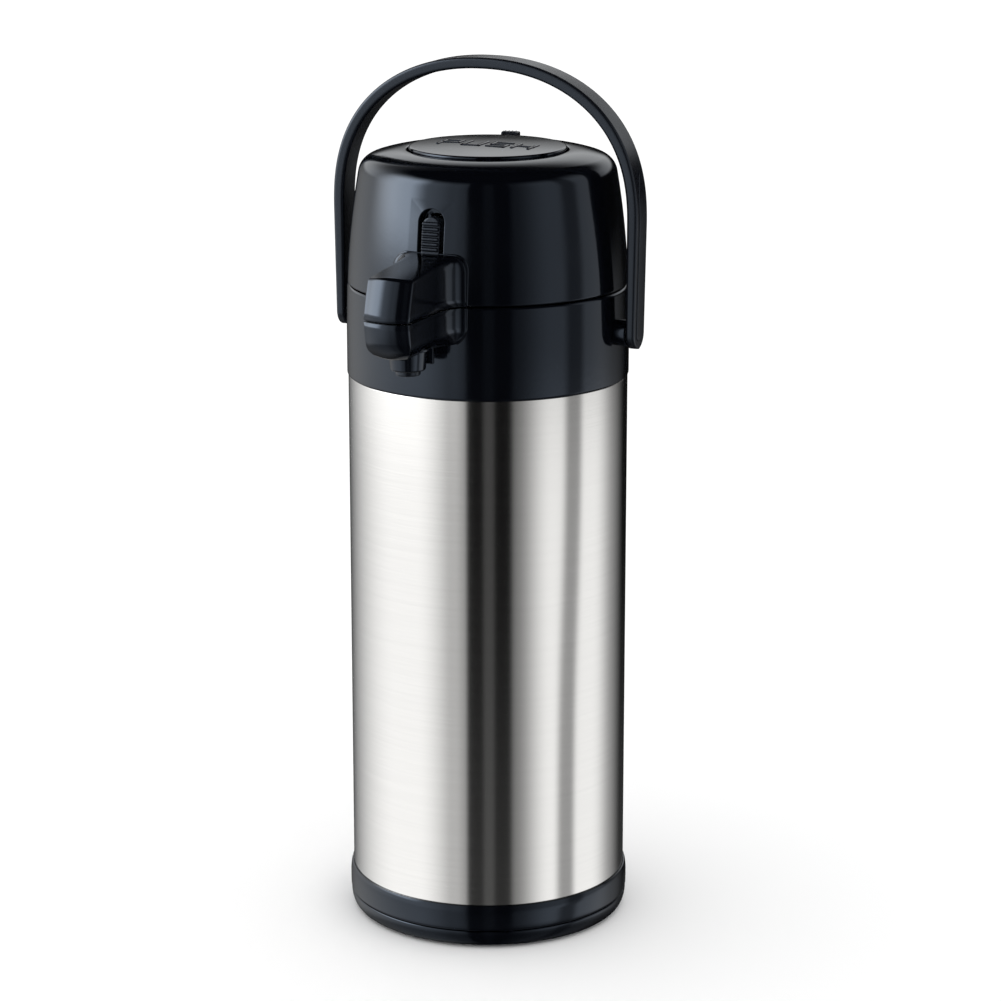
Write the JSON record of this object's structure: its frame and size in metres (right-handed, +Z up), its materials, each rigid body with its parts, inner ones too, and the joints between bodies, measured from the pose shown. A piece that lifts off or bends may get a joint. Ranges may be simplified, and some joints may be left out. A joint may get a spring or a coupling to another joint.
{
  "type": "pump airpot",
  "caption": "Pump-action vacuum airpot: steel cylinder on a swivel base, domed lid with round push button, front spout and arched carry handle.",
  "frame": {"origin": "on the pot's axis, at the surface that it stands on", "axes": "+Z up along the pot's axis, -Y towards the spout, +X to the right seen from behind the spout"},
  "size_m": [0.177, 0.214, 0.471],
  "materials": {
    "gloss_black": "high gloss black, faintly blue",
    "satin_black": "satin black, fine moulded grain",
    "brushed_steel": "brushed round the pot",
    "plated_steel": "zinc plated",
    "black_rubber": "matt",
    "white_plastic": "natural, matt",
    "silicone": "soft, translucent white",
    "silvered_glass": "silvered inside the vacuum gap"
  },
  "bodies": {
    "turntable": {"foot_ring": "black_rubber", "swivel_base": "gloss_black", "swivel_pivot": "plated_steel", "pivot_clip": "plated_steel", "glide_ring": "white_plastic"},
    "vessel": {"base_ring": "gloss_black", "base_screws": "plated_steel", "outer_shell": "brushed_steel", "liner_cup": "white_plastic", "liner_cushion": "black_rubber", "flask_outer": "silvered_glass", "flask_inner": "silvered_glass", "vacuum_spacers": "white_plastic", "neck_gasket": "silicone", "collar": "gloss_black", "spout_lower_cover": "gloss_black", "outlet_pipe": "white_plastic", "nozzle": "gloss_black", "nozzle_tip": "satin_black", "dip_tube": "white_plastic", "stopper": "satin_black", "stopper_seal": "silicone", "handle_pins": "plated_steel", "latch_keeper": "plated_steel"},
    "lid": {"lid_shell": "gloss_black", "spout_upper_cover": "gloss_black", "lid_base": "satin_black", "lid_screws": "plated_steel", "lid_seal": "silicone", "bellows": "black_rubber", "bellows_clamp": "satin_black", "valve_flap": "silicone", "return_spring": "plated_steel", "hinge_pin": "plated_steel", "latch_pin": "plated_steel", "latch_spring": "plated_steel"},
    "button": {"push_button": "gloss_black", "bellows_cap": "satin_black"},
    "latch": {"lid_latch": "satin_black"},
    "hook": {"latch_hook": "satin_black"},
    "lock": {"lock_slider": "satin_black"},
    "handle": {"handle_strap": "satin_black", "handle_bushes": "white_plastic"}
  },
  "joints": [
    {"name": "base_swivel", "type": "hinge", "parent": "turntable", "child": "vessel", "pos_m": [0, 0, 0.01], "axis": [0, 0, 1], "continuous": true},
    {"name": "lid_hinge", "type": "hinge", "parent": "vessel", "child": "lid", "pos_m": [0, 0.0805, 0.352], "axis": [-1, 0, 0], "range_deg": [0, 12]},
    {"name": "button_press", "type": "slide", "parent": "lid", "child": "button", "axis": [0, 0, -1], "range_m": [0, 0.018], "stiffness_N_per_m": 900, "springref_m": -0.002, "deforming": ["bellows", "return_spring"]},
    {"name": "latch_slide", "type": "slide", "parent": "lid", "child": "latch", "axis": [0, 0, 1], "range_m": [0, 0.0035], "stiffness_N_per_m": 400, "springref_m": -0.001, "deforming": ["latch_spring"]},
    {"name": "hook_turn", "type": "hinge", "parent": "lid", "child": "hook", "pos_m": [0, -0.05563, 0.359], "axis": [1, 0, 0], "range_deg": [0, 14.5]},
    {"name": "lock_turn", "type": "hinge", "parent": "lid", "child": "lock", "pos_m": [0, 0, 0.415], "axis": [0, 0, 1], "range_deg": [-20, 0]},
    {"name": "handle_swing", "type": "hinge", "parent": "vessel", "child": "handle", "pos_m": [0, 0, 0.3295], "axis": [1, 0, 0], "range_deg": [-135, 45]}
  ],
  "couplings": [
    {"joint": "hook_turn", "follows": "latch_slide", "rad_per_m": 72.3}
  ]
}
